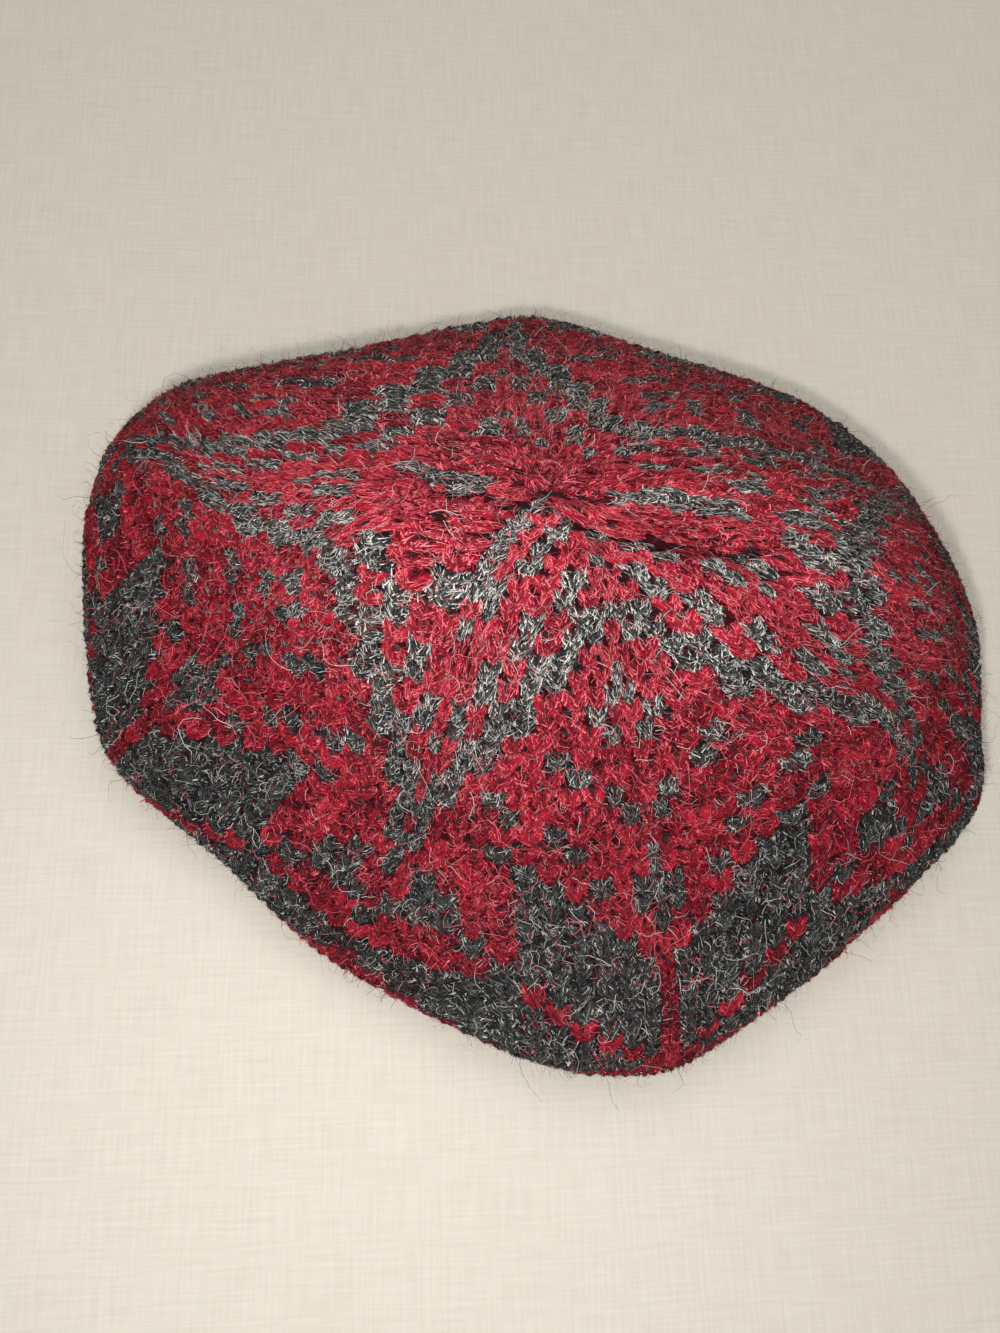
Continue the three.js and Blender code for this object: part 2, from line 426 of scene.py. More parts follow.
@dataclass(frozen=True)
class Chart:
    """The colours of one wedge, mirrored about its middle stitch and repeated round the hat."""

    wedges: int = 5
    half_wedge: int = 12
    crown_row: int = 13
    # A wedge narrows from its full half width to the crown's middle: rows, and stitches there.
    narrowing_rows: tuple[float, ...] = (13, 28, 32.2, 33)
    half_widths: tuple[float, ...] = (12, 5, 1, 0.5)
    # The rows of the side are drawn closer together than those of the crown.
    side_pitch: float = 0.78
    uneven_row: int = 20
    gathered_row: int = 27
    patches: tuple[Patch, ...] = (Patch(1, (29, 31), (-0.6, 1.6)), Patch(3, (29, 31), (0.4, 2.6)))
    # A charcoal band runs up the edge of one wedge into the crown's middle.
    band_wedge: int = 4
    band_width: float = 1.1
    petal: int = 6
    stem: tuple[int, int] = (9, 14)
    # Each line up the crown is where the stitches across and the row add up to one of these.
    spines: tuple[int, ...] = (25, 26, 28, 31, 34)
    edge_slack: float = 0.01
    # Single stitches: across, row.
    dots: frozenset[tuple[int, int]] = frozenset(
        {
            (0, 21), (0, 22), (0, 18), (1, 19), (2, 20), (0, 14), (1, 15), (2, 16), (3, 17),
            (4, 18), (4, 13), (5, 14), (6, 15), (7, 16), (3, 11), (7, 13), (1, 10), (1, 11),
            (11, 13), (10, 11), (9, 10), (10, 10), (9, 9), (10, 9), (11, 9), (7, 7), (8, 8),
            (12, 8), (12, 11), (12, 12), (12, 13),
        }
    )

    def half_width(self, row: float) -> float:
        """Give half a wedge's width, in stitches, at a row."""
        return float(np.interp(row, self.narrowing_rows, self.half_widths))

    def colour(self, offset: int, row: int) -> YarnColour:
        """Read the chart.

        Args:
            offset: Stitches from the wedge's middle.
            row: Row.

        Returns:
            The stitch's yarn.
        """
        across = abs(offset)
        in_stem = across == 0 and self.stem[0] <= row <= self.stem[1]
        in_figure = self._in_crown_lines(across, row) or self._in_star(across, row)
        charcoal = in_stem or in_figure or (across, row) in self.dots
        return YarnColour.CHARCOAL if charcoal else YarnColour.RED

    def colour_at(self, turn: float, row: float) -> YarnColour:
        """Read the chart at a place on the fabric.

        Args:
            turn: The turn.
            row: The row.

        Returns:
            The yarn there.
        """
        place = turn * self.wedges
        offset = (place - round(place)) * 2 * self.half_width(row)
        return self.colour(round(offset), round(self.chart_row(row)))

    def gathered(self, wedge: int, offset: float, row: int) -> YarnColour | None:
        """Read the few rows at the crown's middle, where the last decreases lie unevenly.

        Args:
            wedge: The wedge.
            offset: Stitches from the wedge's middle.
            row: Row.

        Returns:
            The yarn, or nothing where the ordinary chart holds.
        """
        if row < self.gathered_row:
            return None
        in_band = wedge == self.band_wedge and offset > self.half_width(row) - self.band_width
        if in_band or any(patch.covers(wedge, offset, row) for patch in self.patches):
            return YarnColour.CHARCOAL
        return YarnColour.RED if wedge > 0 and row > self.gathered_row + 1 else None

    def fabric_row(self, row: float) -> float:
        """Find where a row of the chart lies on the fabric."""
        on_side = self.crown_row + (row - self.crown_row) * self.side_pitch
        return row if row >= self.crown_row else on_side

    def chart_row(self, row: float) -> float:
        """Find the row of the chart that lies at a row of the fabric."""
        on_side = self.crown_row + (row - self.crown_row) / self.side_pitch
        return row if row >= self.crown_row else on_side

    def row_share(self, row: int) -> float:
        """Give the height of a row of the chart, where a row of the crown is one."""
        return 1.0 if row > self.crown_row else self.side_pitch

    def _in_crown_lines(self, across: int, row: int) -> bool:
        """Say whether a stitch is in a line up the crown.

        Args:
            across: Stitches from the wedge's middle.
            row: Row.

        Returns:
            True in one of the lines that run up the wedge's edges.
        """
        if row < self.crown_row or across > self.half_width(row) + self.edge_slack:
            return False
        return across + row in self.spines and not (across == 0 and row == self.spines[1])

    def _in_star(self, across: int, row: int) -> bool:
        """Say whether a stitch is in a petal of the eight-petalled star.

        Args:
            across: Stitches from the wedge's middle.
            row: Row.

        Returns:
            True in a petal.
        """
        up = abs(row)
        tall = 1 <= across <= self.petal and across + 1 <= up <= across + self.petal
        reach = min(up + self.petal, self.half_wedge)
        wide = 1 <= up <= self.petal and up + 1 <= across <= reach
        return tall or wide


@dataclass(frozen=True)
class Stitch:
    """One stitch's place, its width in turns, its height in rows, and its yarn."""

    turn: float
    row: float
    width: float
    height: float
    colour: YarnColour
    region: Region


@dataclass(frozen=True)
class Knitter:
    """Works the chart over the fabric, row by row.

    Near the crown's middle the wool is drawn in unevenly. Where a row or a wedge is stretched or
    squeezed there, stitches are added or left out, so that each keeps its real size.
    """

    fabric: Fabric
    chart: Chart
    gauge: float
    # Between these shares of its charted width a wedge keeps its charted stitches.
    least_width: float = 0.8
    most_width: float = 1.3
    # A row that is taller than this share of its real height takes two stitches.
    most_height: float = 1.4
    measured_points: int = 17

    def work(self) -> list[Stitch]:
        """Work the whole chart, from the crown's middle to the brim.

        Returns:
            Every stitch of the hat.
        """
        fabric, chart = self.fabric, self.chart
        edge = min(station[3] for station in fabric.fold) - fabric.under_rows - fabric.brim_rows
        stitches: list[Stitch] = []
        for row in range(int(fabric.top_row) - 1, round(chart.chart_row(edge)) - 1, -1):
            for wedge in range(chart.wedges):
                stitches += self._wedge_row(wedge, row)
        return stitches

    def _wedge_row(self, wedge: int, row: int) -> list[Stitch]:
        """Work one row across one wedge.

        Args:
            wedge: The wedge's number.
            row: The row.

        Returns:
            Its stitches, without those that would lie past the brim's edge.
        """
        chart = self.chart
        half = chart.half_width(row)
        count, layers = self._counts(wedge, row)
        width = 1 / (chart.wedges * count)
        stitches = []
        for step in range(count):
            offset = -half + (step + 1) * 2 * half / count
            turn = (wedge / chart.wedges + offset / half / (2 * chart.wedges)) % 1.0
            region = self._region(turn, row)
            if region is None:
                continue
            colour = chart.gathered(wedge, offset, row) or chart.colour(round(offset), row)
            for layer in range(layers):
                place = chart.fabric_row(row) + ((layer + 0.5) / layers - 0.5)
                height = chart.row_share(row) / layers
                stitches.append(Stitch(turn, place, width, height, colour, region))
        return stitches

    def _counts(self, wedge: int, row: int) -> tuple[int, int]:
        """Count the stitches of one row of one wedge.

        Args:
            wedge: The wedge's number.
            row: The row.

        Returns:
            How many lie side by side, and how many one above the other.
        """
        charted = 2 * self.chart.half_width(row)
        count = max(1, round(charted))
        if row <= self.chart.uneven_row:
            return count, 1
        room = self._wedge_width(wedge, row) / self.gauge
        if not self.least_width < room / charted < self.most_width:
            count = max(1, round(room))
        height = self._row_height(wedge, row) / self.fabric.row_height
        return count, 2 if height > self.most_height else 1

    def _wedge_width(self, wedge: int, row: int) -> float:
        """Measure a wedge of the crown across one row.

        Args:
            wedge: The wedge's number.
            row: The row.

        Returns:
            The length from edge to edge in millimetres.
        """
        turn = (wedge + np.linspace(-0.5, 0.5, self.measured_points)) / self.chart.wedges
        path = self.fabric.point(turn, np.full(turn.shape, float(row)))
        return float(np.linalg.norm(np.diff(path, axis=0), axis=-1).sum())

    def _row_height(self, wedge: int, row: int) -> float:
        """Measure the height of one row at a wedge's middle.

        Args:
            wedge: The wedge's number.
            row: The row.

        Returns:
            The height in millimetres.
        """
        turn = np.full(2, wedge / self.chart.wedges)
        rows = np.array([row - 0.5, min(row + 0.5, self.fabric.top_row)])
        low, high = self.fabric.point(turn, rows)
        return float(np.linalg.norm(low - high))

    def _region(self, turn: float, row: int) -> Region | None:
        """Find the region that a stitch belongs to.

        Args:
            turn: Its turn.
            row: Its row in the chart.

        Returns:
            The region, or nothing past the brim's edge.
        """
        place = self.chart.fabric_row(row)
        foot = float(self.fabric.fold_row(np.array(turn))) - self.fabric.under_rows
        if place < foot - self.fabric.brim_rows + self.chart.row_share(row) / 2:
            return None
        if place < foot:
            return Region.BRIM
        return Region.CROWN if row > self.chart.crown_row else Region.SIDE


# ---------------------------------------------------------------- finishes


class DyePot:
    """A wool or cloth material in the making: its nodes are added and wired one by one."""

    def __init__(self, name: str, roughness: float, specular: float) -> None:
        """Start a material.

        Args:
            name: The material's name.
            roughness: How rough its surface is.
            specular: How strongly its surface shines.
        """
        self.material = bpy.data.materials.new(name)
        self.material.use_nodes = True
        self.shader = self.material.node_tree.nodes["Principled BSDF"]
        self.wire(self.shader, {"Roughness": roughness, "Specular IOR Level": specular})

    def wire(self, node: bpy.types.Node, inputs: Inputs) -> None:
        """Fill a node's sockets: a constant is stored in its socket, an output is linked to it.

        Args:
            node: The node.
            inputs: What each socket takes.
        """
        for socket, source in inputs.items():
            if isinstance(source, Socket):
                self.material.node_tree.links.new(source, node.inputs[socket])
            else:
                node.inputs[socket].default_value = source

    def add(self, kind: str, output: str | int, inputs: Inputs, **options: str) -> Socket:
        """Add a node.

        Args:
            kind: Its type, without the common prefix.
            output: The output that is wanted.
            inputs: What each socket takes.
            options: The node's own settings.

        Returns:
            The output.
        """
        node = self.material.node_tree.nodes.new(f"ShaderNode{kind}")
        for option, value in options.items():
            setattr(node, option, value)
        self.wire(node, inputs)
        return node.outputs[output]

    def streaks(
        self, place: Socket, scale: tuple[float, ...], detail: float, roughness: float = 0.5
    ) -> Socket:
        """Add a noise that is drawn out along its axes.

        Args:
            place: Where it is read.
            scale: Its fineness along each axis.
            detail: How many finer layers it has.
            roughness: How strong those are.

        Returns:
            The noise, about 0 to 1.
        """
        run = self.add("Mapping", "Vector", {"Vector": place, "Scale": scale})
        look = {"Vector": run, "Scale": 1.0, "Detail": detail, "Roughness": roughness}
        return self.add("TexNoise", "Fac", look)

    def spread(self, value: Socket, start: float, end: float) -> Socket:
        """Stretch the values between start and end over 0 to 1."""
        return self.add("MapRange", "Result", {"Value": value, "From Min": start, "From Max": end})

    def blend(self, factor: Socket, first: Colour | Socket, second: Colour) -> Socket:
        """Mix two colours.

        Args:
            factor: 0 for the first, 1 for the second.
            first: A colour, or the output that gives it.
            second: A colour.

        Returns:
            The mixed colour.
        """
        start = first if isinstance(first, Socket) else (*first, 1)
        colours = {"Factor": factor, "A": start, "B": (*second, 1)}
        return self.add("Mix", "Result", colours, data_type="RGBA")

    def shades(self, value: Socket, stops: tuple[float, ...], colours: list[Colour]) -> Socket:
        """Run through three colours.

        Args:
            value: What the colour is chosen by.
            stops: The values of the dark, the middle and the light colour.
            colours: Those three.

        Returns:
            The colour.
        """
        node = self.material.node_tree.nodes.new("ShaderNodeValToRGB")
        steps = node.color_ramp.elements
        steps.new(stops[1])
        for step, stop, colour in zip(steps, stops, colours):
            step.position, step.color = stop, (*colour, 1)
        self.wire(node, {"Fac": value})
        return node.outputs["Color"]

    def paint(self, colour: Socket) -> None:
        """Give the surface its colour."""
        self.wire(self.shader, {"Base Color": colour})

    def raise_by(self, pattern: Socket, strength: float, height: float) -> None:
        """Raise the surface finely.

        Args:
            pattern: What it follows.
            strength: How strongly, 0 to 1.
            height: How high, in metres.
        """
        inputs = {"Height": pattern, "Strength": strength, "Distance": height}
        self.wire(self.shader, {"Normal": self.add("Bump", "Normal", inputs)})


@dataclass(frozen=True)
class Wool:
    """A heathered wool yarn: streaked fibres of several shades, rough, with a soft sheen. Its
    shades are partly the wool's own heathered tones and partly painted shade: they lie darker than
    its fibres' for the depths beneath the nap.
    """

    name: str
    dark: Colour
    middle: Colour
    light: Colour
    fleck: Colour
    fleck_share: float
    roughness: float = 0.6
    specular: float = 0.12
    sheen: float = 0.02
    # How fine the streaks and flecks are round the yarn and along it, and the blotches on the hat.
    streak_scale: tuple[float, float, float] = (24, 4.5, 1)
    fleck_scale: tuple[float, float, float] = (22, 3.0, 1)
    blotch_scale: float = 420.0
    # How much the shade follows the streaks, the stitch's tint (its own random tone with painted
    # light on the crown and painted shade on the side) and the blotches.
    streak_part: float = 1.2
    tint_part: float = 0.25
    blotch_part: float = 0.3
    stops: tuple[float, float, float] = (0.62, 0.86, 1.0)
    fleck_fade: tuple[float, float] = (0.66, 0.72)
    grain: float = 0.8
    grain_height: float = 0.0004

    def material(self) -> bpy.types.Material:
        """Build the material.

        Returns:
            A material that reads the yarn's own map and each stitch's tint.
        """
        pot = DyePot(self.name, self.roughness, self.specular)
        pot.wire(pot.shader, {"Sheen Weight": self.sheen, "Sheen Roughness": self.roughness})
        yarn = pot.add("UVMap", "UV", {}, uv_map="yarn")
        streaks = pot.streaks(yarn, self.streak_scale, detail=3.0, roughness=0.6)
        place = pot.add("TexCoord", "Object", {})
        spots = {"Vector": place, "Scale": self.blotch_scale, "Detail": 2.0}
        blotch = pot.add("TexNoise", "Fac", spots)
        tint = pot.add("Attribute", "Fac", {}, attribute_name="tint")
        shade = pot.add("Math", 0, {0: blotch, 1: self.blotch_part}, operation="MULTIPLY")
        for part, share in ((tint, self.tint_part), (streaks, self.streak_part)):
            shade = pot.add("Math", 0, {0: part, 1: share, 2: shade}, operation="MULTIPLY_ADD")
        dyed = pot.shades(shade, self.stops, [self.dark, self.middle, self.light])
        stray = pot.streaks(yarn, self.fleck_scale, detail=1.0)
        start, end = (edge - self.fleck_share for edge in self.fleck_fade)
        pot.paint(pot.blend(pot.spread(stray, start, end), dyed, self.fleck))
        pot.raise_by(streaks, self.grain, self.grain_height)
        return pot.material


@dataclass(frozen=True)
class FibreFinish:
    """Single fibres of wool, each of one shade between dark and light."""

    name: str
    dark: Colour
    middle: Colour
    light: Colour
    stops: tuple[float, float, float] = (0.0, 0.62, 1.0)
    roughness: float = 0.45
    specular: float = 0.22

    def material(self) -> bpy.types.Material:
        """Build the material.

        Returns:
            A material that reads each fibre's tint.
        """
        pot = DyePot(self.name, self.roughness, self.specular)
        tint = pot.add("Attribute", "Fac", {}, attribute_name="tint")
        pot.paint(pot.shades(tint, self.stops, [self.dark, self.middle, self.light]))
        return pot.material


@dataclass(frozen=True)
class PurlSide:
    """The fabric's inside: rows of purl bumps with strands of the second yarn carried across. Its
    ground is the red yarn darkened with painted shade, as it also shows in the gaps between the
    stitches on the outside.
    """

    name: str = "purl_side"
    # The red yarn's purl colour, darkened as painted shade for the gaps between the stitches.
    ground_with_painted_shade: Colour = linear(56, 5, 15)
    strand: Colour = linear(26, 22, 24)
    roughness: float = 0.97
    specular: float = 0.1
    sheen: float = 0.2
    strand_scale: tuple[float, float, float] = (0.35, 1.1, 1)
    strand_edge: tuple[float, float] = (0.5, 0.56)
    # The wave's scale that gives one purl bump a row.
    row_scale: float = 0.314
    unevenness: float = 1.5
    bump_height: float = 0.0012

    def material(self) -> bpy.types.Material:
        """Build the material.

        Returns:
            A material that reads the lining's stitch map.
        """
        pot = DyePot(self.name, self.roughness, self.specular)
        pot.wire(pot.shader, {"Sheen Weight": self.sheen})
        knitted = pot.add("UVMap", "UV", {}, uv_map="stitches")
        carried = pot.streaks(knitted, self.strand_scale, detail=1.0)
        pot.paint(pot.blend(pot.spread(carried, *self.strand_edge), self.ground_with_painted_shade, self.strand))
        wave = {"Vector": knitted, "Scale": self.row_scale, "Distortion": self.unevenness}
        rows = pot.add(
            "TexWave", "Fac", wave | {"Detail": 1.0}, wave_type="BANDS", bands_direction="Y"
        )
        pot.raise_by(rows, 1.0, self.bump_height)
        return pot.material


@dataclass(frozen=True)
class PaleCloth:
    """The pale woven cloth under the hat."""

    name: str = "pale_cloth"
    light: Colour = linear(224, 218, 205)
    shade: Colour = linear(214, 207, 194)
    roughness: float = 0.9
    specular: float = 0.1
    across_thread: float = 1400.0
    along_thread: float = 70.0
    contrast: tuple[float, float] = (0.7, 1.3)
    weave: float = 0.25
    weave_height: float = 0.0003

    def material(self) -> bpy.types.Material:
        """Build the material.

        Returns:
            A plain weave with faint slubs.
        """
        pot = DyePot(self.name, self.roughness, self.specular)
        place = pot.add("TexCoord", "Object", {})
        warp, weft = (
            pot.streaks(place, scale, detail=2.0)
            for scale in (
                (self.across_thread, self.along_thread, 1),
                (self.along_thread, self.across_thread, 1),
            )
        )
        woven = pot.add("Math", 0, {0: warp, 1: weft}, operation="ADD")
        pot.paint(pot.blend(pot.spread(woven, *self.contrast), self.shade, self.light))
        pot.raise_by(woven, self.weave, self.weave_height)
        return pot.material


# The yarns' colours are darker than the fibres' colours below: partly the wool's own shades, partly
# painted shade beneath the nap.
WOOLS = {
    YarnColour.RED: Wool(
        "red_wool",
        dark=linear(22, 0, 6),
        middle=linear(88, 4, 22),
        light=linear(190, 30, 54),
        fleck=linear(244, 130, 130),
        fleck_share=0.04,
    ),
    YarnColour.CHARCOAL: Wool(
        "charcoal_wool",
        dark=linear(3, 3, 4),
        middle=linear(16, 16, 18),
        light=linear(54, 54, 56),
        fleck=linear(196, 194, 188),
        fleck_share=0.08,
    ),
}
FIBRES = {
    YarnColour.RED: FibreFinish(
        "red_fibres",
        dark=linear(28, 0, 7),
        middle=linear(186, 15, 46),
        light=linear(252, 126, 138),
    ),
    YarnColour.CHARCOAL: FibreFinish(
        "grey_fibres",
        dark=linear(4, 4, 5),
        middle=linear(58, 57, 57),
        light=linear(236, 233, 226),
    ),
}


# ---------------------------------------------------------------- meshes


@dataclass(frozen=True)
class StitchShape:
    """The modelled stitch: vertices in millimetres, triangles, and places along the yarn."""

    vertices: Points
    triangles: np.ndarray
    along: Points


@dataclass(frozen=True)
class StitchModel:
    """One V-shaped stitch, modelled once: two plump legs of yarn that meet at the brim side."""

    gauge: float = 4.5
    row_height: float = 4.4
    sides: int = 5
    # Across, towards the brim, out of the fabric, and the yarn's radius, in millimetres.
    leg: Ring = (
        (0.16, 3.20, -0.62, 0.78),
        (0.50, 1.75, 0.00, 1.14),
        (1.08, 0.00, 0.28, 1.28),
        (1.60, -1.60, -0.02, 1.16),
        (1.90, -2.90, -0.85, 0.65),
    )

    def along_leg(self, place: Points) -> Points:
        """Follow a leg.

        Args:
            place: Places along it, 0 to 1.

        Returns:
            Across, brimward and outward distance and the yarn's radius there, in millimetres.
        """
        rings = np.asarray(self.leg)
        stations = np.linspace(0, 1, len(rings))
        return np.stack([np.interp(place, stations, rings[:, k]) for k in range(4)], -1)

    def build(self) -> StitchShape:
        """Model the stitch by hand and read it back.

        Returns:
            Its shape.
        """
        deselect_all()
        start = self.leg[0]
        bpy.ops.mesh.primitive_circle_add(
            vertices=self.sides,
            radius=start[3],
            fill_type="TRIFAN",
            location=start[:3],
            rotation=(math.pi / 2, 0, 0),
        )
        piece = bpy.context.object
        bpy.ops.object.transform_apply(location=True, rotation=True, scale=True)
        bpy.ops.object.mode_set(mode="EDIT")
        bpy.ops.mesh.select_all(action="SELECT")
        for before, after in zip(self.leg, self.leg[1:]):
            step = tuple(b - a for a, b in zip(before[:3], after[:3]))
            bpy.ops.mesh.extrude_region_move(TRANSFORM_OT_translate={"value": step})
            growth = after[3] / before[3]
            bpy.ops.transform.resize(value=(growth,) * 3, center_override=after[:3])
        bpy.ops.mesh.select_all(action="SELECT")
        bpy.ops.mesh.normals_make_consistent(inside=False)
        bpy.ops.object.mode_set(mode="OBJECT")
        mirror = piece.modifiers.new("other_leg", "MIRROR")
        mirror.use_mirror_merge = False
        apply_modifiers(piece)
        shape = piece.data
        shape.calc_loop_triangles()
        vertices = np.array([vertex.co[:] for vertex in shape.vertices])
        # The extruded faces come in another order each time, so they are sorted.
        triangles = np.array(sorted(triangle.vertices[:] for triangle in shape.loop_triangles))
        along = (self.leg[0][1] - vertices[:, 1]) / (self.leg[0][1] - self.leg[-1][1])
        bpy.data.objects.remove(piece)
        bpy.data.meshes.remove(shape)
        return StitchShape(vertices, triangles, along)


@dataclass(frozen=True)
class WoolMesh:
    """A mesh in arrays: vertices in metres, triangles, and each vertex's tint."""

    vertices: Points
    triangles: np.ndarray
    tint: Points

    def piece(self, name: str, yarn_map: Points | None = None) -> bpy.types.Object:
        """Make one smooth-shaded object of the whole mesh.

        Args:
            name: The piece's name.
            yarn_map: The yarn's UV map, one pair a vertex, where the finish reads one.

        Returns:
            The new object, at the origin.
        """
        corners, count = self.triangles.astype(np.int32).ravel(), len(self.triangles)
        shape = bpy.data.meshes.new(name)
        shape.vertices.add(len(self.vertices))
        shape.vertices.foreach_set("co", self.vertices.astype(np.float32).ravel())
        shape.loops.add(len(corners))
        shape.loops.foreach_set("vertex_index", corners)
        shape.polygons.add(count)
        shape.polygons.foreach_set("loop_start", np.arange(0, 3 * count, 3, dtype=np.int32))
        shape.polygons.foreach_set("use_smooth", np.ones(count, dtype=bool))
        shape.update(calc_edges=True)
        attribute = shape.attributes.new("tint", "FLOAT", "POINT")
        attribute.data.foreach_set("value", self.tint.astype(np.float32))
        if yarn_map is not None:
            layer = shape.uv_layers.new(name="yarn")
            layer.data.foreach_set("uv", yarn_map[corners].astype(np.float32).ravel())
        shape.validate()
        piece = bpy.data.objects.new(name, shape)
        bpy.context.scene.collection.objects.link(piece)
        return piece


def finish_piece(piece: bpy.types.Object, material: bpy.types.Material) -> None:
    """Give a piece its material and its place in the part.

    Args:
        piece: The piece.
        material: Its finish.
    """
    piece.data.materials.clear()
    piece.data.materials.append(material)
    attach(piece, "root")
    LOG.info("%s: %d faces", piece.name, len(piece.data.polygons))


@dataclass(frozen=True)
class LaidStitches:
    """The local frames of a group of stitches, each a little different from its neighbours."""

    at: Points
    across: Points
    down: Points
    normal: Points
    size: Points
    lean: Points
    shade: Points
    row: Points
    table_gap: float = 0.05

    def place(self, local: Points) -> Points:
        """Carry points from each stitch's own millimetres to the hat.

        Args:
            local: Across, brimward and outward distances, for each stitch.

        Returns:
            Points in millimetres, none below the table.
        """
        sized = local * self.size[:, None, :]
        x = sized[..., 0] + self.lean[:, None] * sized[..., 1]
        laid = (
            self.at[:, None, :]
            + x[..., None] * self.across[:, None, :]
            + sized[..., 1:2] * self.down[:, None, :]
            + sized[..., 2:3] * self.normal[:, None, :]
        )
        laid[..., 2] = np.maximum(laid[..., 2], self.table_gap)
        return laid


@dataclass(frozen=True)
class PaintedLightAndFelting:
    """How the nap turns from felted on the side to combed on the crown, with the painted shade on
    the side and painted light on the crown that are added to the wool's tint.
    """

    rows: tuple[float, float] = (9, 24)
    # Painted shade on the side and painted light on the crown, added to the tint.
    painted_light_tints: tuple[float, float] = (-0.17, 0.27)
    felting: float = 1.2

    def tint(self, row: Points) -> Points:
        """Give what is added to the wool's tint: painted shade on the side, painted light on the
        crown.
        """
        return np.interp(row, self.rows, self.painted_light_tints)

    def tangle(self, row: Points) -> Points:
        """Give how many times more the nap strays than on the crown."""
        return 1 + self.felting * np.interp(row, self.rows, (1, 0))


@dataclass(frozen=True)
class Nap:
    """The short fibres on the outer side of each stitch's legs, in millimetres."""

    model: StitchModel
    painted_light_and_felting: PaintedLightAndFelting
    count: int = 98
    length: float = 1.6
    # The least share of that length, what is added at most, and how rare long fibres are.
    shortest: float = 0.45
    longer: float = 1.3
    rarity: float = 1.6
    width: float = 0.21
    thinnest: float = 0.7
    thicker: float = 0.6
    spread: float = 0.42
    # The bare share at each end of a leg, and how far ahead a fibre's course is taken from.
    bare_end: float = 0.07
    ahead: float = 0.05
    # How far round the leg the roots spread, in radians, and their distance in yarn radiuses.
    round_leg: float = 0.8
    lift: float = 1.04
    # How a fibre strays from its course: across, along and out of the fabric.
    drift: tuple[float, float] = (1, 0.5)
    rise: float = 0.2
    least_rise: float = 0.03
    shade_part: float = 0.15

    def build(self, laid: LaidStitches, random: np.random.Generator) -> WoolMesh:
        """Raise the fibres.

        Args:
            laid: The stitches' frames.
            random: Source of their places.

        Returns:
            The fibres, a narrow triangle each.
        """
        count = len(laid.at)
        shape = (count, self.count)
        along = random.random(shape) * (1 - 2 * self.bare_end) + self.bare_end
        x, y, z, radius = np.moveaxis(self.model.along_leg(along), -1, 0)
        tip_x, tip_y, tip_z, _ = np.moveaxis(self.model.along_leg(along + self.ahead), -1, 0)
        side = np.where(random.random(shape) < 0.5, -1.0, 1.0)
        around = random.normal(0, self.round_leg, shape)
        raised = radius * self.lift
        root_x = side * (x + raised * np.sin(around))
        root = np.stack([root_x, y, z + raised * np.cos(around)], -1)
        course = unit(np.stack([side * (tip_x - x), tip_y - y, tip_z - z], -1))
        spread = self.spread * self.painted_light_and_felting.tangle(laid.row)[:, None]
        strayed = np.stack(
            [
                random.normal(0, self.drift[0], shape) * spread,
                random.normal(0, self.drift[1], shape) * spread,
                np.abs(random.normal(0, self.rise, shape)) + self.least_rise,
            ],
            -1,
        )
        share = self.shortest + random.random(shape) ** self.rarity * self.longer
        heading = unit(course + strayed) * (self.length * share)[..., None] / 2
        flat = unit(np.cross(heading, np.array([0.0, 0.0, 1.0])))
        thickness = self.thinnest + self.thicker * random.random(shape)
        half = flat * (self.width / 2) * thickness[..., None]
        corners = np.stack([root - heading - half, root - heading + half, root + heading], 2)
        placed = laid.place(corners.reshape(count, -1, 3)).reshape(-1, 3)
        shades = (1 - self.shade_part) * random.random(shape)
        # Each fibre's tint carries its stitch's painted light on the crown and painted shade on the
        # side.
        own = self.shade_part * laid.shade + self.painted_light_and_felting.tint(laid.row)
        tint = np.repeat((own[:, None] + shades).ravel(), 3)
        return WoolMesh(placed * MM, np.arange(len(placed)).reshape(-1, 3), tint)


